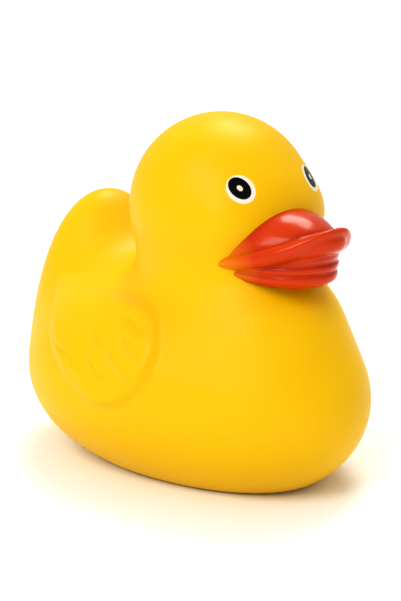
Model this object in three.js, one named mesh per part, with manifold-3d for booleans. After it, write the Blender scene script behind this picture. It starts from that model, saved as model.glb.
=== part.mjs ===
// A hollow bath duck, cast in one piece of soft vinyl, with a squeaker pressed into its base.
// Units are millimetres, +Z is up, the bill points towards -Y, and +X is the duck's left.
// The origin is on the resting plane, under the middle of the duck.

import * as THREE from 'three';
import { ParametricGeometry } from 'three/addons/geometries/ParametricGeometry.js';
import { mergeVertices } from 'three/addons/utils/BufferGeometryUtils.js';
import Module from 'manifold-3d';

const degrees = THREE.MathUtils.degToRad;

// ---- Driving dimensions: the outside of the duck ----

// The duck is a soft union of ellipsoids on the plane of symmetry.
// centre is [y, z], radii are [x, y, z], and pitch leans the ellipsoid back about X.
const BODY = { centre: [6.2, 20.8], radii: [35.5, 38.0, 25.5], pitch: 0 };
const BREAST = { centre: [-15.3, 19.8], radii: [26.0, 34.0, 24.5], pitch: 0 };
const TAIL = { centre: [35.7, 38.3], radii: [15.0, 11.0, 20.5], pitch: degrees(4.5) };
const NECK = { centre: [-16.3, 38.3], radii: [18.0, 23.5, 13.5], pitch: 0 };
const HEAD = { centre: [-8.8, 61.3], radii: [20.7, 21.6, 21.4], pitch: 0 };
const MUZZLE = { centre: [-22.8, 60.8], radii: [15.5, 8.5, 8.5], pitch: 0 };

// How far two neighbours melt into each other.
const BREAST_BLEND = 12.0;
const TAIL_BLEND = 17.5;
const NECK_BLEND = 10.0;
const MUZZLE_BLEND = 7.0;

// The wings are low reliefs on the flanks: a big round front, drawn back and up to a small round tip.
const WING = { front: [-6.8, 31.0], frontRadius: 12.0, tip: [27.0, 39.9], tipRadius: 1.9 };
const WING_HEIGHT = 1.5;
const WING_SLOPE = 3.0;
// The relief fades in between these distances from the plane of symmetry.
const FLANK_START = 8.0;
const FLANK_END = 16.0;

const WALL = 2.0;
const BASE_EDGE = 1.5;

// ---- Driving dimensions: the bill ----

// Each layer of the bill is a rounded plate: an ellipse in plan, halfWidth wide and reach long from
// BILL_ROOT_Y, at height z at the root and tilted up by tilt. up and down are its thicknesses above
// and below that plane at the root, edge is the radius of its rim at the front, and the plate
// hangs sag below its plane half way along.
const BILL_ROOT_Y = -24.3;
const BILL_LAYERS = {
  dome: {
    halfWidth: 14.0, reach: 19.5, z: 52.8, tilt: degrees(14), sag: 0, up: 10.8, down: 1.5, edge: 1.0,
  },
  upperLip: {
    halfWidth: 12.9, reach: 24.0, z: 52.6, tilt: degrees(22.5), sag: 1.6, up: 1.7, down: 1.0, edge: 1.0,
  },
  innerBill: {
    halfWidth: 9.4, reach: 23.4, z: 52.0, tilt: degrees(19), sag: 0.6, up: 2.4, down: 2.3, edge: 2.2,
  },
  tongue: {
    halfWidth: 12.2, reach: 19.4, z: 52.2, tilt: degrees(11), sag: 0, up: 3.4, down: 2.4, edge: 2.3,
  },
  lowerLip: {
    halfWidth: 12.7, reach: 18.8, z: 52.2, tilt: degrees(1.5), sag: 0, up: 1.3, down: 1.3, edge: 1.2,
  },
  chin: {
    halfWidth: 12.4, reach: 18.6, z: 50.6, tilt: degrees(-1), sag: 0, up: 1.4, down: 3.4, edge: 1.5,
  },
};
// A rim's radius is RIM_AT_ROOT of edge at the root, and all of it past RIM_GROWTH of the reach.
const RIM_AT_ROOT = 0.35;
const RIM_GROWTH = 0.6;
// How far the layers melt into each other; the small ones leave the creases of lips and mouth.
const UPPER_MELT = 4.0;
const CREASE = 0.4;
const MOUTH_CREASE = 0.4;
// The rays that find the bill's surface start here, inside every layer.
const BILL_HEART = { y: -27.0, z: 53.8 };

// ---- Driving dimensions: the squeaker and its seat ----

const GAP = 0.3;
const SEAT_Y = -3.3;
const RECESS_RADIUS = 9.4;
const RECESS_DEPTH = 1.9;
const HOLE_RADIUS = 7.0;
const BOSS_RADIUS = 12.0;
const BOSS_TOP = 4.1;
const FLANGE_THICKNESS = 1.2;
const BARREL_RADIUS = 6.0;
const BARREL_TOP = 12.0;
const CHAMBER_RADIUS = 3.0;
const CAP_BORE_RADIUS = 4.7;
const SOUND_HOLE_RADIUS = 1.5;
const LEDGE_Z = 6.6;
const REED_THICKNESS = 0.6;
const CAP_THICKNESS = 2.4;
const BARB_REACH = 1.1;
const BARB_HEIGHT = 2.4;
const TONGUE_HALF_WIDTH = 1.0;
const TONGUE_HALF_LENGTH = 2.2;
const TONGUE_SLIT = 0.35;
// How far a cutting disc passes the face it cuts.
const OVERSHOOT = 1.0;
const ROUND_STEPS = 28;

// ---- Driving dimensions: the grid of the outer and inner skins ----

// The skins are swept about a hinge in the notch between head and tail. A fan of half planes turns
// about it from the tail to the head, and rays in each half plane start on a curved spine.
const HINGE = { y: 21.7, z: 70.8 };
const FAN_START = degrees(-115);
const FAN_END = degrees(-15);
const SPINE_START = 36.0;
const SPINE_END = 32.0;
const SPINE_SAG = 8.0;
const TAIL_CAP_SHARE = 0.2;
const HEAD_CAP_SHARE = 0.28;
const OUTER_GRID = { around: 48, along: 42 };
const INNER_GRID = { around: 26, along: 22 };
const BILL_GRID = { around: 44, along: 36 };
const MARCH_STEP = 2.0;
const MARCH_LIMIT = 80.0;
const HALVINGS = 24;

// ---- The outside as a field: negative inside, zero on the skin, about a distance near it ----

function ellipsoidField(point, { centre, radii, pitch }) {
  const dy = point.y - centre[0];
  const dz = point.z - centre[1];
  const x = point.x;
  const y = dy * Math.cos(pitch) + dz * Math.sin(pitch);
  const z = dz * Math.cos(pitch) - dy * Math.sin(pitch);
  const [rx, ry, rz] = radii;
  const reach = Math.hypot(x / rx, y / ry, z / rz);
  const slope = Math.hypot(x / rx ** 2, y / ry ** 2, z / rz ** 2);
  return slope > 0 ? (reach * (reach - 1)) / slope : -Math.min(rx, ry, rz);
}

function softUnion(a, b, blend) {
  const overlap = Math.max(blend - Math.abs(a - b), 0) / blend;
  return Math.min(a, b) - (overlap ** 2 * blend) / 4;
}

// Distance in side view to the outline of two circles and their common tangents.
function wingOutlineDistance(y, z) {
  const length = Math.hypot(WING.tip[0] - WING.front[0], WING.tip[1] - WING.front[1]);
  const ay = (WING.tip[0] - WING.front[0]) / length;
  const az = (WING.tip[1] - WING.front[1]) / length;
  const along = (y - WING.front[0]) * ay + (z - WING.front[1]) * az;
  const across = Math.abs((z - WING.front[1]) * ay - (y - WING.front[0]) * az);
  const sine = (WING.frontRadius - WING.tipRadius) / length;
  const cosine = Math.sqrt(1 - sine ** 2);
  const foot = along * cosine - across * sine;
  if (foot < 0) return Math.hypot(along, across) - WING.frontRadius;
  if (foot > cosine * length) return Math.hypot(along - length, across) - WING.tipRadius;
  return across * cosine + along * sine - WING.frontRadius;
}

function wingRelief(point) {
  const inside = THREE.MathUtils.smoothstep(-wingOutlineDistance(point.y, point.z), 0, WING_SLOPE);
  const onFlank = THREE.MathUtils.smoothstep(Math.abs(point.x), FLANK_START, FLANK_END);
  return WING_HEIGHT * inside * onFlank;
}

function duckField(point) {
  const chest = softUnion(ellipsoidField(point, BODY), ellipsoidField(point, BREAST), BREAST_BLEND);
  const trunk = softUnion(chest, ellipsoidField(point, TAIL), TAIL_BLEND);
  const shoulders = softUnion(trunk, ellipsoidField(point, NECK), NECK_BLEND);
  const face = softUnion(ellipsoidField(point, HEAD), ellipsoidField(point, MUZZLE), MUZZLE_BLEND);
  return softUnion(shoulders, face, NECK_BLEND);
}

// The field of one layer of the bill.
function plateField(point, { halfWidth, reach, z, tilt, sag, up, down, edge }) {
  const forward = BILL_ROOT_Y - point.y;
  const height = point.z - z;
  const ahead = forward * Math.cos(tilt) + height * Math.sin(tilt);
  const progress = THREE.MathUtils.clamp(ahead / reach, 0, 1);
  const hang = 4 * sag * progress * (1 - progress);
  const lift = height * Math.cos(tilt) - forward * Math.sin(tilt) + hang;
  const growth = THREE.MathUtils.clamp(ahead / (RIM_GROWTH * reach), 0, 1);
  const rim = edge * THREE.MathUtils.lerp(RIM_AT_ROOT, 1, growth);
  const across = halfWidth - rim;
  const along = reach - rim;
  const share = Math.hypot(point.x / across, ahead / along);
  const slope = Math.hypot(point.x / across ** 2, ahead / along ** 2);
  const beyond = share > 1 ? (share * (share - 1)) / slope : 0;
  const thickness = (lift > 0 ? up : down) - rim;
  const bulge = thickness * Math.sqrt(Math.max(1 - share ** 2, 0));
  return Math.hypot(beyond, Math.max(Math.abs(lift) - bulge, 0)) - rim;
}

function billField(point) {
  const layer = (name) => plateField(point, BILL_LAYERS[name]);
  const roof = softUnion(layer('upperLip'), layer('dome'), UPPER_MELT);
  const upper = softUnion(roof, layer('innerBill'), CREASE);
  const floor = softUnion(layer('lowerLip'), layer('chin'), CREASE);
  const lower = softUnion(floor, layer('tongue'), CREASE);
  return softUnion(upper, lower, MOUTH_CREASE);
}

// ---- The skins as surfaces of two parameters ----

// u goes once around the spine; v goes from the tail's end along the fan to the crown.
function skinRay(u, v) {
  const turn = u * 2 * Math.PI;
  const fan = THREE.MathUtils.clamp((v - TAIL_CAP_SHARE) / (1 - TAIL_CAP_SHARE - HEAD_CAP_SHARE), 0, 1);
  const angle = THREE.MathUtils.lerp(FAN_START, FAN_END, fan);
  const radius = THREE.MathUtils.lerp(SPINE_START, SPINE_END, fan) + SPINE_SAG * Math.sin(Math.PI * fan);
  let tilt = Math.PI / 2;
  if (v < TAIL_CAP_SHARE) tilt = Math.PI - (v / TAIL_CAP_SHARE) * (Math.PI / 2);
  if (v > 1 - HEAD_CAP_SHARE) tilt = ((1 - v) / HEAD_CAP_SHARE) * (Math.PI / 2);
  const away = new THREE.Vector3(0, -Math.cos(angle), Math.sin(angle));
  const forward = new THREE.Vector3(0, Math.sin(angle), Math.cos(angle));
  const start = new THREE.Vector3(0, HINGE.y, HINGE.z).addScaledVector(away, radius);
  const direction = forward.multiplyScalar(Math.cos(tilt));
  direction.addScaledVector(away, Math.sin(tilt) * Math.cos(turn));
  direction.x += Math.sin(tilt) * Math.sin(turn);
  return { start, direction };
}

// The first place along a ray where the field reaches a level.
function crossing({ start, direction }, field, level) {
  const probe = new THREE.Vector3();
  const value = (t) => field(probe.copy(start).addScaledVector(direction, t)) - level;
  let far = MARCH_STEP;
  while (value(far) < 0 && far < MARCH_LIMIT) far += MARCH_STEP;
  let near = far - MARCH_STEP;
  for (let i = 0; i < HALVINGS; i += 1) {
    const middle = (near + far) / 2;
    if (value(middle) < 0) near = middle;
    else far = middle;
  }
  return start.clone().addScaledVector(direction, far);
}

// Below the floor the skin is pressed flat, and it curves softly into the side over BASE_EDGE.
function pressFlat(z, floor) {
  const above = z - floor;
  if (above >= BASE_EDGE) return z;
  if (above <= -BASE_EDGE) return floor;
  return floor + (above + BASE_EDGE) ** 2 / (4 * BASE_EDGE);
}

function skinGeometry(grid, field, level, floor) {
  const place = (u, v, target) => {
    const point = crossing(skinRay(u, v), field, level);
    target.set(point.x, point.y, pressFlat(point.z, floor));
  };
  return new ParametricGeometry(place, grid.around, grid.along);
}

// u goes once around the bill's axis; v turns from straight ahead to straight back.
function billRay(u, v) {
  const turn = -u * 2 * Math.PI;
  const tilt = v * Math.PI;
  const start = new THREE.Vector3(0, BILL_HEART.y, BILL_HEART.z);
  const side = Math.sin(tilt) * Math.cos(turn);
  const direction = new THREE.Vector3(side, -Math.cos(tilt), Math.sin(tilt) * Math.sin(turn));
  return { start, direction };
}

function billGeometry() {
  const place = (u, v, target) => target.copy(crossing(billRay(u, v), billField, 0));
  return new ParametricGeometry(place, BILL_GRID.around, BILL_GRID.along);
}

// ---- Joining and cutting ----

const wasm = await Module();
wasm.setup();

// Welds a closed geometry, drops the empty triangles at its poles, and makes a solid of it.
function solidOf(geometry) {
  const bare = geometry.clone();
  bare.deleteAttribute('normal');
  bare.deleteAttribute('uv');
  const welded = mergeVertices(bare);
  const corners = Array.from(welded.index.array);
  const kept = [];
  for (let i = 0; i < corners.length; i += 3) {
    const [a, b, c] = corners.slice(i, i + 3);
    if (a !== b && b !== c && c !== a) kept.push(a, b, c);
  }
  return new wasm.Manifold(new wasm.Mesh({
    numProp: 3,
    vertProperties: new Float32Array(welded.attributes.position.array),
    triVerts: new Uint32Array(kept),
  }));
}

function geometryOf(solid) {
  const { vertProperties, triVerts } = solid.getMesh();
  const geometry = new THREE.BufferGeometry();
  geometry.setAttribute('position', new THREE.BufferAttribute(vertProperties, 3));
  geometry.setIndex(new THREE.BufferAttribute(triVerts, 1));
  geometry.computeVertexNormals();
  return geometry;
}

// An upright disc between two heights, centred on the squeaker's axis.
function disc(radius, bottom, top) {
  const geometry = new THREE.CylinderGeometry(radius, radius, top - bottom, ROUND_STEPS);
  geometry.rotateX(Math.PI / 2);
  geometry.translate(0, SEAT_Y, (bottom + top) / 2);
  return geometry;
}

// A profile of [radius, z] points turned about the squeaker's axis. It is closed on itself.
function turned(profile) {
  const points = [...profile, profile[0]].map(([radius, z]) => new THREE.Vector2(radius, z));
  const geometry = new THREE.LatheGeometry(points, ROUND_STEPS);
  geometry.rotateX(Math.PI / 2);
  geometry.translate(0, SEAT_Y, 0);
  return geometry;
}

// ---- The pieces ----

const VINYL = new THREE.MeshStandardMaterial({ color: '#fdc903', roughness: 0.38, metalness: 0 });
const HARD_PLASTIC = new THREE.MeshStandardMaterial({ color: '#f2efe6', roughness: 0.45, metalness: 0 });
const REED_PLASTIC = new THREE.MeshStandardMaterial({ color: '#d8d4c8', roughness: 0.35, metalness: 0 });

// The vinyl shell: skin and bill in one casting, hollow, with a thick floor around the squeaker.
function duckShell() {
  const outerField = (point) => duckField(point) - wingRelief(point);
  let shell = solidOf(skinGeometry(OUTER_GRID, outerField, 0, 0));
  shell = shell.add(solidOf(billGeometry()));
  shell = shell.subtract(solidOf(skinGeometry(INNER_GRID, duckField, -WALL, WALL)));
  shell = shell.add(solidOf(disc(BOSS_RADIUS, WALL / 2, BOSS_TOP)));
  shell = shell.subtract(solidOf(disc(RECESS_RADIUS, -OVERSHOOT, RECESS_DEPTH)));
  return shell.subtract(solidOf(disc(HOLE_RADIUS, -OVERSHOOT, BOSS_TOP + OVERSHOOT)));
}

// The squeaker's body grips the floor between a flange below and a barb above.
function squeakerBody() {
  const flangeTop = RECESS_DEPTH - GAP;
  const flangeBottom = flangeTop - FLANGE_THICKNESS;
  const neckRadius = HOLE_RADIUS - GAP;
  const flangeRadius = RECESS_RADIUS - GAP;
  const barbBottom = BOSS_TOP + GAP;
  const barbRadius = neckRadius + BARB_REACH;
  const barbTop = barbBottom + BARB_HEIGHT;
  return turned([
    [SOUND_HOLE_RADIUS, flangeBottom],
    [flangeRadius, flangeBottom],
    [flangeRadius, flangeTop],
    [neckRadius, flangeTop],
    [neckRadius, barbBottom],
    [barbRadius, barbBottom],
    [BARREL_RADIUS, barbTop],
    [BARREL_RADIUS, BARREL_TOP],
    [CAP_BORE_RADIUS, BARREL_TOP],
    [CAP_BORE_RADIUS, LEDGE_Z],
    [CHAMBER_RADIUS, LEDGE_Z],
    [CHAMBER_RADIUS, flangeTop + FLANGE_THICKNESS],
    [SOUND_HOLE_RADIUS, flangeTop + FLANGE_THICKNESS],
  ]);
}

// The reed is a thin disc on the ledge, with a tongue left free on three sides by a narrow slit.
function squeakerReed() {
  const radius = CAP_BORE_RADIUS - GAP;
  const slitHalfWidth = TONGUE_HALF_WIDTH + TONGUE_SLIT;
  const outline = new THREE.Shape().absarc(0, 0, radius, 0, 2 * Math.PI);
  const cut = new THREE.Path();
  cut.moveTo(-slitHalfWidth, -TONGUE_HALF_LENGTH);
  cut.lineTo(-slitHalfWidth, TONGUE_HALF_LENGTH + TONGUE_SLIT);
  cut.lineTo(slitHalfWidth, TONGUE_HALF_LENGTH + TONGUE_SLIT);
  cut.lineTo(slitHalfWidth, -TONGUE_HALF_LENGTH);
  cut.lineTo(TONGUE_HALF_WIDTH, -TONGUE_HALF_LENGTH);
  cut.lineTo(TONGUE_HALF_WIDTH, TONGUE_HALF_LENGTH);
  cut.lineTo(-TONGUE_HALF_WIDTH, TONGUE_HALF_LENGTH);
  cut.lineTo(-TONGUE_HALF_WIDTH, -TONGUE_HALF_LENGTH);
  outline.holes.push(cut);
  const geometry = new THREE.ExtrudeGeometry(outline, {
    depth: REED_THICKNESS,
    bevelEnabled: false,
    curveSegments: ROUND_STEPS,
  });
  geometry.translate(0, SEAT_Y, LEDGE_Z + GAP);
  return geometry;
}

// The cap is a ring pressed into the barrel over the reed.
function squeakerCap() {
  const bottom = LEDGE_Z + GAP + REED_THICKNESS + GAP;
  const radius = CAP_BORE_RADIUS - GAP;
  return turned([
    [SOUND_HOLE_RADIUS, bottom],
    [radius, bottom],
    [radius, bottom + CAP_THICKNESS],
    [SOUND_HOLE_RADIUS, bottom + CAP_THICKNESS],
  ]);
}

function piece(name, solid, material) {
  const mesh = new THREE.Mesh(geometryOf(solid), material);
  mesh.name = name;
  return mesh;
}

const duck = new THREE.Group();
duck.add(
  piece('duck_shell', duckShell(), VINYL),
  piece('squeaker_body', solidOf(squeakerBody()), HARD_PLASTIC),
  piece('squeaker_reed', solidOf(squeakerReed()), REED_PLASTIC),
  piece('squeaker_cap', solidOf(squeakerCap()), HARD_PLASTIC),
);

export default duck;
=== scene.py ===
# %% [markdown]
# # A bath duck of soft vinyl
# The real object is a hollow casting of soft yellow vinyl with a sprayed orange bill, painted
# eyes and a squeaker pressed into its base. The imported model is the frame: it gives the sizes
# and the places, and the looks are built around it.

# %% Load the frame
import math

import bpy
import numpy as np
from mathutils import Matrix, Vector


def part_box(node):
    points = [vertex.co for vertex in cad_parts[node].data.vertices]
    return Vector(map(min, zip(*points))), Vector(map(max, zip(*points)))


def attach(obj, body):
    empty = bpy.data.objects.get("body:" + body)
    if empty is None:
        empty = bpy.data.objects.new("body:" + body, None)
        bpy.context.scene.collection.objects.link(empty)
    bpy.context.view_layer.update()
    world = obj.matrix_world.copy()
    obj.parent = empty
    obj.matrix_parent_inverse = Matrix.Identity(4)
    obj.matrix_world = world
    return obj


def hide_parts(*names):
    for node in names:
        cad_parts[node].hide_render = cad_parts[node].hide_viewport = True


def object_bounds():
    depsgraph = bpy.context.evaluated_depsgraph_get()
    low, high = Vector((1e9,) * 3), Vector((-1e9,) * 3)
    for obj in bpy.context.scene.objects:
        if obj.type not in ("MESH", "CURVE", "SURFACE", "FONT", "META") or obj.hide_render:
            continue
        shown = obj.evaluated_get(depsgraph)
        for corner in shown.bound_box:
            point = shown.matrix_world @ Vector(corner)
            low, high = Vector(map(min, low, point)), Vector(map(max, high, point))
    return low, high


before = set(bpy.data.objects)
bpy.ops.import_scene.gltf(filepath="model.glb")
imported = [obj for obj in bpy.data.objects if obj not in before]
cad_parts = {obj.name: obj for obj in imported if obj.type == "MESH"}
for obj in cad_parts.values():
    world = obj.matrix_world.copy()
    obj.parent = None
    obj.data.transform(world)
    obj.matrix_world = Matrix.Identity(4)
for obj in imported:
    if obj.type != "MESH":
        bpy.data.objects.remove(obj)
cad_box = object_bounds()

MM = 0.001
LOW, HIGH = (Vector(corner) for corner in cad_box)
print("nodes:", sorted(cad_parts), "size in mm:", [round(v / MM, 1) for v in HIGH - LOW])

# %% [markdown]
# ## Camera
# The camera stands in front of the duck's right cheek, a little above it, as a person looks at a
# toy on a table. A long lens far away keeps the head from looking bigger than the body. The place
# is worked out from two angles and a distance, so that it can be read and changed.

# %% Camera
CAMERA_TURN = math.radians(40.2)
CAMERA_LIFT = math.radians(14.9)
CAMERA_DISTANCE = 400 * MM
CAMERA_TARGET = Vector((0.52 * MM, -0.74 * MM, 37.12 * MM))
LENS_MM = 101.8

out_of_duck = Vector((
    -math.sin(CAMERA_TURN) * math.cos(CAMERA_LIFT),
    -math.cos(CAMERA_TURN) * math.cos(CAMERA_LIFT),
    math.sin(CAMERA_LIFT),
))
camera = bpy.data.objects.new("camera", bpy.data.cameras.new("camera"))
camera.data.lens = LENS_MM
camera.location = CAMERA_TARGET + out_of_duck * CAMERA_DISTANCE
camera.rotation_euler = out_of_duck.to_track_quat("Z", "Y").to_euler()
bpy.context.scene.collection.objects.link(camera)
bpy.context.scene.camera = camera
print("camera at", tuple(round(v, 3) for v in camera.location))

# %% [markdown]
# ## Colours and nodes
# Colours are chosen as they look on a screen, as sRGB hex values, and one function turns them
# into the linear values that light works with. One more small function adds a shader node with its
# settings and its links, so that each material reads as a list of what feeds what.

# %% Colour and node helpers
def linear(hex_colour):
    """An sRGB hex colour as linear red, green, blue and alpha."""
    srgb = np.array([int(hex_colour[i:i + 2], 16) for i in (1, 3, 5)]) / 255
    rgb = np.where(srgb <= 0.04045, srgb / 12.92, ((srgb + 0.055) / 1.055) ** 2.4)
    return (*rgb.tolist(), 1.0)


def add_node(tree, kind, inputs=None, **settings):
    """Adds a node; an input is a value, or the output socket that feeds it."""
    node = tree.nodes.new(kind)
    for name, value in settings.items():
        setattr(node, name, value)
    for key, value in (inputs or {}).items():
        if isinstance(value, bpy.types.NodeSocket):
            tree.links.new(value, node.inputs[key])
        else:
            node.inputs[key].default_value = value
    return node


def new_material(name):
    """An empty node material, with its output node."""
    material = bpy.data.materials.new(name)
    material.use_nodes = True
    material.node_tree.nodes.clear()
    return material, material.node_tree


# %% [markdown]
# ## Floor and light
# The duck stands on plain white paper in soft studio light. A wide lamp overhead whitens the paper
# and lays a soft highlight on the crown and the bill, a second one from the left shapes the
# cheek, and a pale room fills the rest. The lamps are large and some metres off, as in a studio,
# so that the paper is as bright far behind the duck as it is beside it. The paper is matt and all
# but white; its faint cloudiness is drawn coarser than real fibres, which would not show.

# %% Floor
FLOOR_HALF = 6.0
floor_mesh = bpy.data.meshes.new("floor")
corners = [(-1, -1), (1, -1), (1, 1), (-1, 1)]
points = [(x * FLOOR_HALF, y * FLOOR_HALF, 0.0) for x, y in corners]
floor_mesh.from_pydata(points, [], [(0, 1, 2, 3)])
floor = bpy.data.objects.new("floor", floor_mesh)
bpy.context.scene.collection.objects.link(floor)
paper, tree = new_material("matt_white_paper")
FIBRE_MM = 25.0
place = add_node(tree, "ShaderNodeTexCoord").outputs["Object"]
fibres = add_node(tree, "ShaderNodeTexNoise", {
    "Vector": place, "Scale": 1 / (FIBRE_MM * MM), "Detail": 3.0,
})
shade = add_node(tree, "ShaderNodeMapRange", {0: fibres.outputs["Fac"], 3: 0.96, 4: 0.98})
tint = add_node(tree, "ShaderNodeCombineColor", {i: shade.outputs[0] for i in range(3)})
surface = add_node(tree, "ShaderNodeBsdfPrincipled", {
    "Base Color": tint.outputs[0], "Roughness": 0.9,
})
add_node(tree, "ShaderNodeOutputMaterial", {"Surface": surface.outputs[0]})
floor_mesh.materials.append(paper)
print("floor:", 2 * FLOOR_HALF, "m across")

# %% [markdown]
# The lamps could be placed by hand and aimed by eye. They are placed by two angles from the camera
# instead, since that is how a photographer speaks of them: so far round, and so far up. A lift of
# more than 90 degrees goes over the top, and lights the duck from a little behind.

# %% Lamps and room
AIM = Vector((0.0, 0.0, 0.45 * HIGH.z))


def add_lamp(name, turn, lift, distance, size, watts):
    """A square soft lamp, turn degrees left of the camera and lift degrees above the table."""
    angle = CAMERA_TURN + math.radians(turn)
    up = math.radians(lift)
    away = Vector((-math.sin(angle) * math.cos(up), -math.cos(angle) * math.cos(up), math.sin(up)))
    lamp = bpy.data.objects.new(name, bpy.data.lights.new(name, "AREA"))
    lamp.data.energy = watts
    lamp.data.size = size
    lamp.location = AIM + away * distance
    lamp.rotation_euler = away.to_track_quat("Z", "Y").to_euler()
    bpy.context.scene.collection.objects.link(lamp)
    return lamp


add_lamp("overhead_lamp", 14, 120, 2.5, 1.1, 24.0)
add_lamp("left_lamp", 38, 42, 3.0, 1.6, 34.0)
room = bpy.data.worlds.new("white_room")
room.use_nodes = True
room.node_tree.nodes["Background"].inputs["Color"].default_value = linear("#ffffff")
room.node_tree.nodes["Background"].inputs["Strength"].default_value = 0.50
bpy.context.scene.world = room
print("lamps:", [light.name for light in bpy.data.lights])
bpy.context.scene.view_settings.view_transform = "Standard"
bpy.context.scene.view_settings.look = "High Contrast"

# %% [markdown]
# ## The shape of the skin
# A rotocast toy has no flat face or hard edge: its forms flow into each other. That could be
# sculpted, or built from a subdivided cage. Here it is a field: six ellipsoids, each a function
# that is negative inside and about a distance near its surface, melted together two by two. The
# same few numbers give the solid and the fine skin, and every radius can be read and changed.

# %% The forms of the duck, in millimetres
BODY = {"centre": (6.2, 20.8), "radii": (35.5, 38.0, 25.5), "lean": 0.0}
BREAST = {"centre": (-15.3, 19.8), "radii": (26.0, 34.0, 24.5), "lean": 0.0}
TAIL = {"centre": (35.7, 38.3), "radii": (15.0, 11.0, 20.5), "lean": math.radians(4.5)}
NECK = {"centre": (-16.3, 38.3), "radii": (18.0, 23.5, 13.5), "lean": 0.0}
HEAD = {"centre": (-8.8, 61.3), "radii": (20.7, 21.6, 21.4), "lean": 0.0}
MUZZLE = {"centre": (-22.8, 60.8), "radii": (15.5, 8.5, 8.5), "lean": 0.0}
BREAST_BLEND, TAIL_BLEND, NECK_BLEND, MUZZLE_BLEND = 12.0, 17.5, 10.0, 7.0
TINY = 1e-9


def ellipsoid_field(p, centre, radii, lean):
    """k (k - 1) / g: k is the length of p in radii, g the length of p in squared radii."""
    y, z = p[..., 1] - centre[0], p[..., 2] - centre[1]
    cosine, sine = math.cos(lean), math.sin(lean)
    q = np.stack([p[..., 0], y * cosine + z * sine, z * cosine - y * sine], -1)
    k = np.linalg.norm(q / np.array(radii), axis=-1)
    g = np.linalg.norm(q / np.array(radii) ** 2, axis=-1)
    return k * (k - 1) / np.maximum(g, TINY)


def soft_union(a, b, blend):
    """The smaller of two fields, less a quarter of blend times the square of their closeness."""
    closeness = np.maximum(blend - np.abs(a - b), 0) / blend
    return np.minimum(a, b) - closeness ** 2 * blend / 4


def duck_field(p):
    """The six forms melted together: trunk first, then the face, then the two at the neck."""
    chest = soft_union(ellipsoid_field(p, **BODY), ellipsoid_field(p, **BREAST), BREAST_BLEND)
    trunk = soft_union(chest, ellipsoid_field(p, **TAIL), TAIL_BLEND)
    shoulders = soft_union(trunk, ellipsoid_field(p, **NECK), NECK_BLEND)
    face = soft_union(ellipsoid_field(p, **HEAD), ellipsoid_field(p, **MUZZLE), MUZZLE_BLEND)
    return soft_union(shoulders, face, NECK_BLEND)


print("field at the middle of the head:", float(duck_field(np.array([0.5, *HEAD["centre"]]))))

# %% [markdown]
# ## From a field to a mesh
# Marching cubes would find the zero surface with triangles of any shape. A grid that follows the
# form is better to shade and to relief: rays start on a curved spine inside the duck, and each
# vertex is where its ray leaves the field. The spine is an arc about a hinge in the notch between
# head and tail, so one grid runs from the tail's end through the body to the crown.

# %% Ray casting on arrays
MARCH_STEP, MARCH_LIMIT, HALVINGS = 1.5, 80.0, 22


def first_crossing(start, direction, field, level=0.0):
    """Steps out until the field passes level, then halves the last step again and again."""
    far = np.full(start.shape[:-1], MARCH_STEP)
    inside = np.ones(far.shape, bool)
    while inside.any() and far.max() < MARCH_LIMIT:
        inside &= field(start + direction * far[..., None]) < level
        far = np.where(inside, far + MARCH_STEP, far)
    near = far - MARCH_STEP
    for _ in range(HALVINGS):
        middle = (near + far) / 2
        below = field(start + direction * middle[..., None]) < level
        near, far = np.where(below, middle, near), np.where(below, far, middle)
    return start + direction * far[..., None]


# %% [markdown]
# The grid's rows are rings round the spine. They turn over the tail's end, fan out about the
# hinge, and close over the crown, and a slow wave in the angle crowds more columns onto the two
# flanks, where the wings need them. The base is then pressed flat, with a soft edge.

# %% The grid of the skin
HINGE = np.array([0.0, 21.7, 70.8])
FAN_START, FAN_END = math.radians(-115), math.radians(-15)
SPINE_START, SPINE_END, SPINE_SAG = 36.0, 32.0, 8.0
TAIL_SHARE, HEAD_SHARE = 0.2, 0.28
FLANK_CROWDING = 0.12
BASE_EDGE = 1.5
WALL = 2.0


def skin_rays(rows, columns):
    """Row by row, rays turn over the tail's end, fan about the hinge, then close over the crown."""
    u, v = np.meshgrid(np.arange(columns) / columns, np.linspace(0, 1, rows))
    turn = 2 * np.pi * u + FLANK_CROWDING * np.sin(4 * np.pi * u)
    fan = np.clip((v - TAIL_SHARE) / (1 - TAIL_SHARE - HEAD_SHARE), 0, 1)
    angle = FAN_START + (FAN_END - FAN_START) * fan
    radius = SPINE_START + (SPINE_END - SPINE_START) * fan + SPINE_SAG * np.sin(np.pi * fan)
    over_tail = np.pi - np.minimum(v / TAIL_SHARE, 1) * np.pi / 2
    over_head = np.minimum((1 - v) / HEAD_SHARE, 1) * np.pi / 2
    tilt = np.where(v < TAIL_SHARE, over_tail, over_head)
    away = np.stack([0 * angle, -np.cos(angle), np.sin(angle)], -1)
    forward = np.stack([0 * angle, np.sin(angle), np.cos(angle)], -1)
    start = HINGE + away * radius[..., None]
    direction = forward * np.cos(tilt)[..., None] + away * (np.sin(tilt) * np.cos(turn))[..., None]
    direction[..., 0] += np.sin(tilt) * np.sin(turn)
    return start, direction


def press_flat(z, floor_z):
    """floor_z below, z above, and (above + e)^2 / 4e in between, with e the base's edge."""
    above = z - floor_z
    curve = floor_z + (above + BASE_EDGE) ** 2 / (4 * BASE_EDGE)
    return np.where(above >= BASE_EDGE, z, np.where(above <= -BASE_EDGE, floor_z, curve))


# %% [markdown]
# ## Wings and feathers
# The wings are low reliefs in the same casting, with a soft edge that stands about a millimetre
# proud and a few short feather strokes pressed into them. They could be bump in a material, but
# the edge throws a shadow, so each vertex is moved along the skin's normal instead.

# %% Wing relief
WING_FRONT, WING_FRONT_RADIUS = np.array([-6.8, 31.0]), 12.0
WING_TIP, WING_TIP_RADIUS = np.array([27.0, 39.9]), 1.9
WING_HEIGHT, WING_SLOPE = 1.5, 3.0
FEATHER_DEPTH, FEATHER_WIDTH = 0.55, 0.6
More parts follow.
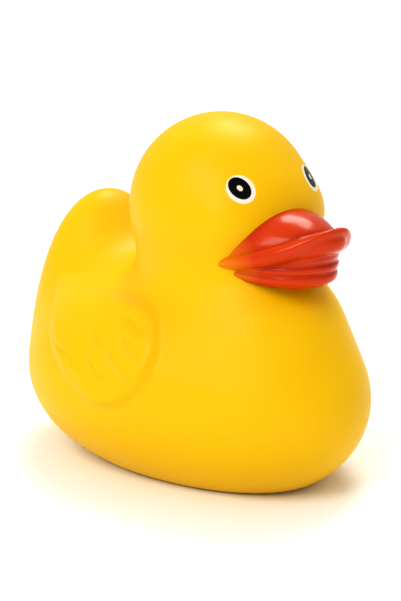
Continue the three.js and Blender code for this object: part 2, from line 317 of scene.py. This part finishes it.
# Each stroke is a parabola in side view: its rear end, its front end, and its sag in millimetres.
FEATHERS = [
    ((-6.0, 38.6), (-14.0, 36.6), 0.5),
    ((-8.3, 34.9), (-14.8, 32.0), 0.5),
    ((-6.6, 31.6), (-14.2, 27.0), 0.3),
    ((-0.6, 34.0), (-4.4, 32.2), 0.3),
    ((-1.2, 30.2), (-7.6, 26.4), 0.5),
    ((14.6, 32.4), (4.2, 29.4), 0.8),
    ((4.6, 27.4), (-1.6, 24.0), 0.5),
]


def smooth_step(value, low, high):
    """3 t squared less 2 t cubed, where t runs from 0 at low to 1 at high."""
    t = np.clip((value - low) / (high - low), 0, 1)
    return t * t * (3 - 2 * t)


def wing_distance(y, z):
    """Distance to the outline of two circles and the two lines that touch both, in side view."""
    length = np.linalg.norm(WING_TIP - WING_FRONT)
    ay, az = (WING_TIP - WING_FRONT) / length
    along = (y - WING_FRONT[0]) * ay + (z - WING_FRONT[1]) * az
    across = np.abs((z - WING_FRONT[1]) * ay - (y - WING_FRONT[0]) * az)
    sine = (WING_FRONT_RADIUS - WING_TIP_RADIUS) / length
    cosine = math.sqrt(1 - sine ** 2)
    foot = along * cosine - across * sine
    round_front = np.hypot(along, across) - WING_FRONT_RADIUS
    round_tip = np.hypot(along - length, across) - WING_TIP_RADIUS
    side = across * cosine + along * sine - WING_FRONT_RADIUS
    return np.where(foot < 0, round_front, np.where(foot > cosine * length, round_tip, side))


def feather_grooves(y, z):
    """Each stroke is a bell-shaped groove about its parabola, fading out past its two ends."""
    depth = np.zeros_like(y)
    for (y0, z0), (y1, z1), sag in FEATHERS:
        length = math.hypot(y1 - y0, z1 - z0)
        ay, az = (y1 - y0) / length, (z1 - z0) / length
        along = ((y - y0) * ay + (z - z0) * az) / length
        across = (z - z0) * ay - (y - y0) * az
        middle = 4 * sag * along * (1 - along)
        ends = smooth_step(along, -0.08, 0.12) * smooth_step(-along, -1.08, -0.88)
        groove = np.exp(-((across - middle) / FEATHER_WIDTH) ** 2) * ends
        depth = np.maximum(depth, groove)
    return FEATHER_DEPTH * depth


def wing_relief(p):
    """A soft plateau inside the wing's outline, less the feather strokes, on both flanks."""
    x, y, z = np.moveaxis(p, -1, 0)
    on_flank = smooth_step(np.abs(x), 8, 16)
    plateau = WING_HEIGHT * smooth_step(-wing_distance(y, z), 0, WING_SLOPE)
    return (plateau - feather_grooves(y, z)) * on_flank


def normals(p, field, step=0.05):
    """The direction in which the field grows fastest, from differences along each axis."""
    slopes = [field(p + np.eye(3)[i] * step) - field(p - np.eye(3)[i] * step) for i in range(3)]
    n = np.stack(slopes, -1)
    return n / np.linalg.norm(n, axis=-1, keepdims=True)


# %% [markdown]
# ## Grids to meshes
# A closed grid has rows that are rings and a single vertex at each pole. Its faces are worked out
# as whole arrays: quads between neighbouring rings, and a fan of triangles round each pole.

# %% Mesh helpers
def closed_mesh(name, grid):
    """rows x columns points, the first and last row all one point, as a closed smooth mesh."""
    rows, columns = grid.shape[:2]
    points = np.concatenate([grid[0, :1], grid[1:-1].reshape(-1, 3), grid[-1, :1]])
    ring = np.arange(columns)
    following = np.roll(ring, -1)
    first = 1 + columns * np.arange(rows - 3)[:, None]
    quads = np.stack([
        first + ring, first + following, first + columns + following, first + columns + ring,
    ], -1).reshape(-1, 4)
    last_ring = 1 + columns * (rows - 3)
    cap_start = np.stack([0 * ring, 1 + following, 1 + ring], -1)
    cap_end = np.stack([0 * ring + len(points) - 1, last_ring + ring, last_ring + following], -1)
    mesh = bpy.data.meshes.new(name)
    faces = quads.tolist() + cap_start.tolist() + cap_end.tolist()
    mesh.from_pydata((points * MM).tolist(), [], faces)
    mesh.polygons.foreach_set("use_smooth", np.ones(len(mesh.polygons), bool))
    mesh.update()
    return mesh


def new_object(name, mesh):
    """Links a mesh into the scene as an object at the origin."""
    obj = bpy.data.objects.new(name, mesh)
    bpy.context.scene.collection.objects.link(obj)
    return obj


def signed_volume(mesh):
    """Sum over the triangles of a . (b x c) / 6: positive when the faces point outwards."""
    mesh.calc_loop_triangles()
    corner = np.empty(len(mesh.loop_triangles) * 3, np.int32)
    mesh.loop_triangles.foreach_get("vertices", corner)
    points = np.empty(len(mesh.vertices) * 3)
    mesh.vertices.foreach_get("co", points)
    a, b, c = np.moveaxis(points.reshape(-1, 3)[corner.reshape(-1, 3)], 1, 0)
    return float(np.einsum("ij,ij->", a, np.cross(b, c)) / 6)


def combine(obj, cutter, operation):
    """Joins or cuts with a Boolean modifier, keeps the result as the mesh, drops the cutter."""
    modifier = obj.modifiers.new(operation.lower(), "BOOLEAN")
    modifier.operation = operation
    modifier.solver = "MANIFOLD"
    modifier.object = cutter
    evaluated = obj.evaluated_get(bpy.context.evaluated_depsgraph_get())
    mesh = bpy.data.meshes.new_from_object(evaluated)
    obj.modifiers.clear()
    obj.data = mesh
    bpy.data.objects.remove(cutter)


# %% [markdown]
# Now the skin itself. It could be raised with a Displace modifier, but then the export and the
# solid would not know it, so the relief goes straight into the points: each one moves out along
# its normal by the wing's height there, before the base is pressed flat.

# %% The outer skin
OUTER_ROWS, OUTER_COLUMNS = 252, 300
outside = first_crossing(*skin_rays(OUTER_ROWS, OUTER_COLUMNS), duck_field)
outside = outside + normals(outside, duck_field) * wing_relief(outside)[..., None]
outside[..., 2] = press_flat(outside[..., 2], 0.0)
shell = new_object("duck_skin", closed_mesh("duck_skin", outside))
print("skin volume in cm3:", round(signed_volume(shell.data) * 1e6, 1))
print("skin faces:", len(shell.data.polygons))

# %% [markdown]
# ## The hollow and the squeaker's seat
# A squeezed duck pumps air through its squeaker, so the casting is hollow and its floor has a
# round hole in a shallow recess. The hollow is the same field at a lower level, which gives a wall
# of even thickness, and the seat is cut and joined with turned discs at the squeaker's own place.

# %% Hollow and seat
INNER_ROWS, INNER_COLUMNS = 90, 110
SEAT_LOW, SEAT_HIGH = (np.array(corner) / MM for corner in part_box("squeaker_body"))
SEAT_Y = (SEAT_LOW[1] + SEAT_HIGH[1]) / 2
GAP = 0.3
RECESS_RADIUS, RECESS_DEPTH = (SEAT_HIGH[0] - SEAT_LOW[0]) / 2 + GAP, 1.9
HOLE_RADIUS = 7.0
BOSS_RADIUS, BOSS_TOP = 12.0, 4.1
ROUND_STEPS = 96
SHARP_ANGLE = math.radians(40)


def disc(name, radius, bottom, top, edge=0.3):
    """Turned about the squeaker's axis: out along the bottom, up the side, back along the top."""
    angle = np.linspace(0, 2 * np.pi, ROUND_STEPS, endpoint=False)
    corner = edge * 0.3
    half = [radius - edge, radius - corner, radius]
    radii = np.array([0, *half, *half[::-1], 0])
    low = [bottom, bottom, bottom + corner, bottom + edge]
    high = [top - edge, top - corner, top, top]
    heights = np.array(low + high)
    x = radii[:, None] * np.cos(angle)
    y = SEAT_Y + radii[:, None] * np.sin(angle)
    z = heights[:, None] + 0 * angle
    return new_object(name, closed_mesh(name, np.stack([x, y, z], -1)))


inside = first_crossing(*skin_rays(INNER_ROWS, INNER_COLUMNS), duck_field, -WALL)
inside[..., 2] = press_flat(inside[..., 2], WALL)
combine(shell, new_object("hollow", closed_mesh("hollow", inside)), "DIFFERENCE")
combine(shell, disc("boss", BOSS_RADIUS, WALL / 2, BOSS_TOP), "UNION")
combine(shell, disc("recess", RECESS_RADIUS, -WALL, RECESS_DEPTH), "DIFFERENCE")
combine(shell, disc("hole", HOLE_RADIUS, -WALL, BOSS_TOP + WALL), "DIFFERENCE")
shell.data.set_sharp_from_angle(angle=SHARP_ANGLE)
print("shell volume in cm3:", round(signed_volume(shell.data) * 1e6, 1))

# %% [markdown]
# ## The bill
# The bill is open a little, as if the duck were calling. On the real toy it is one solid lump of
# the casting with soft creases: a domed upper bill with a thin turned-up lip, a fat inner bill
# under it, a tongue, a lower lip and a chin. Each is a rounded plate: an ellipse in plan, tilted
# about the mouth's corners, thickest at the root, and sagging a little on its way so that the lip
# turns up at the front. Melting them with small radii leaves the creases of the lips and mouth.

# %% The layers of the bill, in millimetres and degrees
BILL_ROOT_Y = -24.3
BILL_LAYERS = {
    "dome": {
        "width": 14.0, "reach": 19.5, "z": 52.8, "tilt": 14.0, "sag": 0.0,
        "up": 10.8, "down": 1.5, "edge": 1.0,
    },
    "upper_lip": {
        "width": 12.9, "reach": 24.0, "z": 52.6, "tilt": 22.5, "sag": 1.6,
        "up": 1.7, "down": 1.0, "edge": 1.0,
    },
    "inner_bill": {
        "width": 9.4, "reach": 23.4, "z": 52.0, "tilt": 19.0, "sag": 0.6,
        "up": 2.4, "down": 2.3, "edge": 2.2,
    },
    "tongue": {
        "width": 12.2, "reach": 19.4, "z": 52.2, "tilt": 11.0, "sag": 0.0,
        "up": 3.4, "down": 2.4, "edge": 2.3,
    },
    "lower_lip": {
        "width": 12.7, "reach": 18.8, "z": 52.2, "tilt": 1.5, "sag": 0.0,
        "up": 1.3, "down": 1.3, "edge": 1.2,
    },
    "chin": {
        "width": 12.4, "reach": 18.6, "z": 50.6, "tilt": -1.0, "sag": 0.0,
        "up": 1.4, "down": 3.4, "edge": 1.5,
    },
}
RIM_AT_ROOT, RIM_GROWTH = 0.35, 0.6
UPPER_MELT, CREASE, MOUTH_CREASE = 4.0, 0.4, 0.4


def plate_field(p, width, reach, z, tilt, sag, up, down, edge):
    """Distance to a thin lens in plan and thickness, less a rim that grows from the root.

    The lens hangs 4 sag t (1 - t) below its tilted plane, where t is the share of its reach.
    """
    forward, height = BILL_ROOT_Y - p[..., 1], p[..., 2] - z
    cosine, sine = math.cos(math.radians(tilt)), math.sin(math.radians(tilt))
    ahead = forward * cosine + height * sine
    share = np.clip(ahead / reach, 0, 1)
    lift = height * cosine - forward * sine + 4 * sag * share * (1 - share)
    growth = np.clip(ahead / (RIM_GROWTH * reach), 0, 1)
    rim = edge * (RIM_AT_ROOT + (1 - RIM_AT_ROOT) * growth)
    across, along = width - rim, reach - rim
    k = np.hypot(p[..., 0] / across, ahead / along)
    g = np.hypot(p[..., 0] / across ** 2, ahead / along ** 2)
    outside_plan = np.maximum(k * (k - 1) / np.maximum(g, TINY), 0)
    bulge = np.where(lift > 0, up - rim, down - rim) * np.sqrt(np.maximum(1 - k ** 2, 0))
    return np.hypot(outside_plan, np.maximum(np.abs(lift) - bulge, 0)) - rim


def bill_field(p):
    """Upper layers and lower layers, each melted together, then joined with a fine crease."""
    layer = {name: plate_field(p, **sizes) for name, sizes in BILL_LAYERS.items()}
    upper = soft_union(layer["upper_lip"], layer["dome"], UPPER_MELT)
    upper = soft_union(upper, layer["inner_bill"], CREASE)
    lower = soft_union(layer["lower_lip"], layer["chin"], CREASE)
    lower = soft_union(lower, layer["tongue"], CREASE)
    return soft_union(upper, lower, MOUTH_CREASE)


# %% [markdown]
# The bill is nearly a star shape: from one point in the mouth, every ray leaves it once or nearly
# so. The same ray casting therefore makes its mesh, and where a fold hides behind a lip the ray
# stops at the lip. It runs on into the face, so that paint meets vinyl in a clean crease.

# %% The bill's mesh
BILL_ROWS, BILL_COLUMNS = 200, 240
BILL_HEART = np.array([0.0, -27.0, 53.8])


def bill_rays(rows, columns):
    """Rays from one point in the mouth: rows turn from straight ahead to straight back."""
    u, v = np.meshgrid(np.arange(columns) / columns, np.linspace(0, 1, rows))
    turn, tilt = -2 * np.pi * u, np.pi * v
    side, up = np.sin(tilt) * np.cos(turn), np.sin(tilt) * np.sin(turn)
    direction = np.stack([side, -np.cos(tilt), up], -1)
    return np.broadcast_to(BILL_HEART, direction.shape), direction


lips = first_crossing(*bill_rays(BILL_ROWS, BILL_COLUMNS), bill_field)
bill = new_object("duck_bill", closed_mesh("duck_bill", lips))
print("bill volume in cm3:", round(signed_volume(bill.data) * 1e6, 2))

# %% [markdown]
# ## Vinyl and eye paint
# The skin is plasticised PVC, cast in a polished mould: bright yellow right through, with a satin
# sheen, faintly see-through at thin edges, and with a very fine ripple. The eyes are printed on it
# in three flat coats: a cream oval, a black oval and a small white glint. An oval is a Mapping node
# set at the eye, in units of the oval's half lengths, so that a point is inside where its length is
# under one. The left and right eyes are one pattern, read on the size of X and not on its sign.

# %% Where an eye is
EYE_TURN, EYE_LIFT = math.radians(30.0), math.radians(21.0)
EYE_LEAN = math.radians(42.0)


def eye_axes():
    """Centre of an eye on the head, and its long, short and outward axes."""
    radii = Vector(HEAD["radii"])
    centre = Vector((0.0, *HEAD["centre"]))
    ray = Vector((
        math.sin(EYE_TURN) * math.cos(EYE_LIFT),
        -math.cos(EYE_TURN) * math.cos(EYE_LIFT),
        math.sin(EYE_LIFT),
    ))
    reach = 1 / Vector(r / s for r, s in zip(ray, radii)).length
    outward = Vector(r * reach / s ** 2 for r, s in zip(ray, radii)).normalized()
    up = (Vector((0, 0, 1)) - outward * outward.z).normalized()
    side = up.cross(outward)
    side = side if side.x > 0 else -side
    long_axis = up * math.cos(EYE_LEAN) + side * math.sin(EYE_LEAN)
    return centre + ray * reach, long_axis, outward.cross(long_axis), outward


EYE_CENTRE, EYE_LONG, EYE_SHORT, EYE_OUT = eye_axes()
EYE_TURNING = Matrix((EYE_LONG, EYE_SHORT, EYE_OUT)).transposed().to_euler()
# Each coat: half length, half width, shift along the two axes, in millimetres.
EYE_WHITE = (3.45, 3.0, -0.35, 0.0)
EYE_BLACK = (2.85, 2.12, 0.0, 0.0)
EYE_GLINT = (0.75, 0.55, 0.0, 0.0)
print("eye at", [round(v, 1) for v in EYE_CENTRE])

# %% [markdown]
# The material puts the coats on from the bottom up, as the factory does: vinyl, cream, black and
# glint, each mixed over the last by its oval's mask. The ink is smoother than the vinyl and stands
# a hair above it, so the same mask also feeds the roughness and the bump.

# %% Satin yellow vinyl with printed eyes
def mirrored_place(tree):
    """The object's own coordinates, and the same with X made positive, for both sides at once."""
    place = add_node(tree, "ShaderNodeTexCoord").outputs["Object"]
    axes = add_node(tree, "ShaderNodeSeparateXYZ", {0: place})
    either_side = add_node(tree, "ShaderNodeMath", {0: axes.outputs["X"]}, operation="ABSOLUTE")
    mirrored = add_node(tree, "ShaderNodeCombineXYZ", {
        "X": either_side.outputs[0], "Y": axes.outputs["Y"], "Z": axes.outputs["Z"],
    })
    return place, mirrored.outputs[0]


def oval_mask(tree, point, coat, softness=0.04):
    """One inside an oval at the eye, nought outside, with a narrow soft rim."""
    half_length, half_width, shift_long, shift_short = coat
    centre = (EYE_CENTRE + EYE_LONG * shift_long + EYE_SHORT * shift_short) * MM
    local = add_node(tree, "ShaderNodeMapping", {
        "Vector": point, "Location": centre, "Rotation": EYE_TURNING,
        "Scale": (half_length * MM, half_width * MM, MM),
    }, vector_type="TEXTURE")
    flat = add_node(tree, "ShaderNodeVectorMath", {
        0: local.outputs[0], 1: (1, 1, 0),
    }, operation="MULTIPLY")
    reach = add_node(tree, "ShaderNodeVectorMath", {0: flat.outputs[0]}, operation="LENGTH")
    return add_node(tree, "ShaderNodeMapRange", {
        0: reach.outputs["Value"], 1: 1 + softness, 2: 1 - softness, 3: 0.0, 4: 1.0,
    }, interpolation_type="SMOOTHSTEP").outputs[0]


vinyl, tree = new_material("satin_yellow_vinyl")
place, mirrored = mirrored_place(tree)
coats = (EYE_WHITE, EYE_BLACK, EYE_GLINT)
white, black, glint = (oval_mask(tree, mirrored, coat) for coat in coats)
CLOUD_MM = 25.0
clouds = add_node(tree, "ShaderNodeTexNoise", {
    "Vector": place, "Scale": 1 / (CLOUD_MM * MM), "Detail": 2.0,
})
yellow = add_node(tree, "ShaderNodeMix", {
    0: clouds.outputs["Fac"], 6: linear("#e5b500"), 7: linear("#e9bc00"),
}, data_type="RGBA")
with_white = add_node(tree, "ShaderNodeMix", {
    0: white, 6: yellow.outputs[2], 7: linear("#e6dece"),
}, data_type="RGBA")
with_black = add_node(tree, "ShaderNodeMix", {
    0: black, 6: with_white.outputs[2], 7: linear("#050303"),
}, data_type="RGBA")
with_glint = add_node(tree, "ShaderNodeMix", {
    0: glint, 6: with_black.outputs[2], 7: linear("#e6dcc6"),
}, data_type="RGBA")
RIPPLE_MM = 1.2
ripple = add_node(tree, "ShaderNodeTexNoise", {
    "Vector": place, "Scale": 1 / (RIPPLE_MM * MM), "Detail": 3.0,
})
paint_edge = add_node(tree, "ShaderNodeMath", {0: white, 1: 0.5}, operation="MULTIPLY")
height = add_node(tree, "ShaderNodeMath", {
    0: ripple.outputs["Fac"], 1: 0.25, 2: paint_edge.outputs[0],
}, operation="MULTIPLY_ADD")
relief = add_node(tree, "ShaderNodeBump", {
    "Height": height.outputs[0], "Strength": 0.25, "Distance": 0.05 * MM,
})
sheen = add_node(tree, "ShaderNodeMapRange", {0: clouds.outputs["Fac"], 3: 0.40, 4: 0.46})
gloss = add_node(tree, "ShaderNodeMix", {
    0: white, 2: sheen.outputs[0], 3: 0.22,
}, data_type="FLOAT")
surface = add_node(tree, "ShaderNodeBsdfPrincipled", {
    "Base Color": with_glint.outputs[2], "Roughness": gloss.outputs[0], "IOR": 1.53,
    "Specular IOR Level": 0.2,
    "Subsurface Weight": 0.12, "Subsurface Radius": (1.0, 0.55, 0.1), "Subsurface Scale": 2.5 * MM,
    "Normal": relief.outputs[0],
})
add_node(tree, "ShaderNodeOutputMaterial", {"Surface": surface.outputs[0]})
shell.data.materials.clear()
shell.data.materials.append(vinyl)
print(vinyl.name, "has", len(vinyl.node_tree.nodes), "nodes")

# %% [markdown]
# ## Bill paint
# The bill is sprayed with a glossy orange-red vinyl paint through a mask. It is thick and shiny in
# the middle and runs thin and yellowish at the corners of the mouth, where the mask overlaps, so
# the colour fades with the distance from a point at the corner. In the creases the colour is
# darkened
# to a deeper red as painted shade: an Ambient Occlusion node finds the places that see little of
# the sky.

# %% Glossy orange bill paint
MOUTH_CORNER = Vector((13.6, -25.6, 52.2))
bill_paint, tree = new_material("glossy_orange_bill_paint")
place, mirrored = mirrored_place(tree)
to_corner = add_node(tree, "ShaderNodeVectorMath", {
    0: mirrored, 1: MOUTH_CORNER * MM,
}, operation="DISTANCE")
thin = add_node(tree, "ShaderNodeMapRange", {
    0: to_corner.outputs["Value"], 1: 1.0 * MM, 2: 9.0 * MM, 3: 0.75, 4: 0.0,
})
SPRAY_MM = 6.0
spray = add_node(tree, "ShaderNodeTexNoise", {
    "Vector": place, "Scale": 1 / (SPRAY_MM * MM), "Detail": 3.0,
})
orange = add_node(tree, "ShaderNodeMix", {
    0: spray.outputs["Fac"], 6: linear("#c23802"), 7: linear("#ce4602"),
}, data_type="RGBA")
# Painted shade: the colour turns deep red in the bill's creases, where the occlusion node sees
# little sky.
CREASE_SHADE_MM = 5.0
open_sky = add_node(tree, "ShaderNodeAmbientOcclusion", {"Distance": CREASE_SHADE_MM * MM}, samples=8)
painted_crease_shade = add_node(tree, "ShaderNodeMapRange", {
    0: open_sky.outputs["AO"], 1: 0.3, 2: 1.0, 3: 1.0, 4: 0.0,
})
with_painted_crease_shade = add_node(tree, "ShaderNodeMix", {
    0: painted_crease_shade.outputs[0], 6: orange.outputs[2], 7: linear("#8a1001"),
}, data_type="RGBA")
colour = add_node(tree, "ShaderNodeMix", {
    0: thin.outputs[0], 6: with_painted_crease_shade.outputs[2], 7: linear("#ea9200"),
}, data_type="RGBA")
SPECKLE_MM = 0.8
speckle = add_node(tree, "ShaderNodeTexNoise", {
    "Vector": place, "Scale": 1 / (SPECKLE_MM * MM), "Detail": 2.0,
})
relief = add_node(tree, "ShaderNodeBump", {
    "Height": speckle.outputs["Fac"], "Strength": 0.2, "Distance": 0.05 * MM,
})
sheen = add_node(tree, "ShaderNodeMapRange", {0: spray.outputs["Fac"], 3: 0.2, 4: 0.3})
surface = add_node(tree, "ShaderNodeBsdfPrincipled", {
    "Base Color": colour.outputs[2], "Roughness": sheen.outputs[0], "IOR": 1.5,
    "Subsurface Weight": 0.05, "Subsurface Radius": (1.0, 0.3, 0.1), "Subsurface Scale": 1.5 * MM,
    "Specular IOR Level": 0.25, "Coat Weight": 0.15, "Coat Roughness": 0.08,
    "Normal": relief.outputs[0],
})
add_node(tree, "ShaderNodeOutputMaterial", {"Surface": surface.outputs[0]})
bill.data.materials.clear()
bill.data.materials.append(bill_paint)
print(bill_paint.name, "has", len(bill_paint.node_tree.nodes), "nodes")

# %% [markdown]
# ## The squeaker's plastics
# The squeaker is pressed from natural polyethylene, a milky white plastic with a waxy surface, and
# its reed is a harder, shinier sheet. Only the flange and its sound hole show, from below.

# %% Milky polyethylene and stiff reed sheet
FLOW_MM = 4.0


def milky_plastic(name, low, high, roughness, scatter_mm):
    """A cloudy two-tone plastic that lets light in for scatter_mm."""
    material, tree = new_material(name)
    place = add_node(tree, "ShaderNodeTexCoord").outputs["Object"]
    flow = add_node(tree, "ShaderNodeTexNoise", {
        "Vector": place, "Scale": 1 / (FLOW_MM * MM), "Detail": 4.0,
    })
    colour = add_node(tree, "ShaderNodeMix", {
        0: flow.outputs["Fac"], 6: linear(low), 7: linear(high),
    }, data_type="RGBA")
    waxy = add_node(tree, "ShaderNodeMapRange", {
        0: flow.outputs["Fac"], 3: roughness, 4: roughness + 0.1,
    })
    relief = add_node(tree, "ShaderNodeBump", {
        "Height": flow.outputs["Fac"], "Strength": 0.2, "Distance": 0.1 * MM,
    })
    surface = add_node(tree, "ShaderNodeBsdfPrincipled", {
        "Base Color": colour.outputs[2], "Roughness": waxy.outputs[0], "IOR": 1.51,
        "Subsurface Weight": 0.3, "Subsurface Radius": (1.0, 1.0, 0.9),
        "Subsurface Scale": scatter_mm * MM,
        "Normal": relief.outputs[0],
    })
    add_node(tree, "ShaderNodeOutputMaterial", {"Surface": surface.outputs[0]})
    return material


polyethylene = milky_plastic("milky_polyethylene", "#e9e4d6", "#f4f1e8", 0.4, 1.5)
reed_sheet = milky_plastic("stiff_reed_sheet", "#cfc9b8", "#dcd7c9", 0.25, 0.5)
for node, material in {
    "squeaker_body": polyethylene, "squeaker_cap": polyethylene, "squeaker_reed": reed_sheet,
}.items():
    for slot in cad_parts[node].material_slots:
        slot.material = material

# %% [markdown]
# ## Hand over
# The skin and the bill ride on the duck's one body and stand for its shell.

# %% Ride and replace
for piece, finish in ((shell, "vinyl"), (bill, "bill_paint")):
    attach(piece, "root")
    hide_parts("duck_shell")
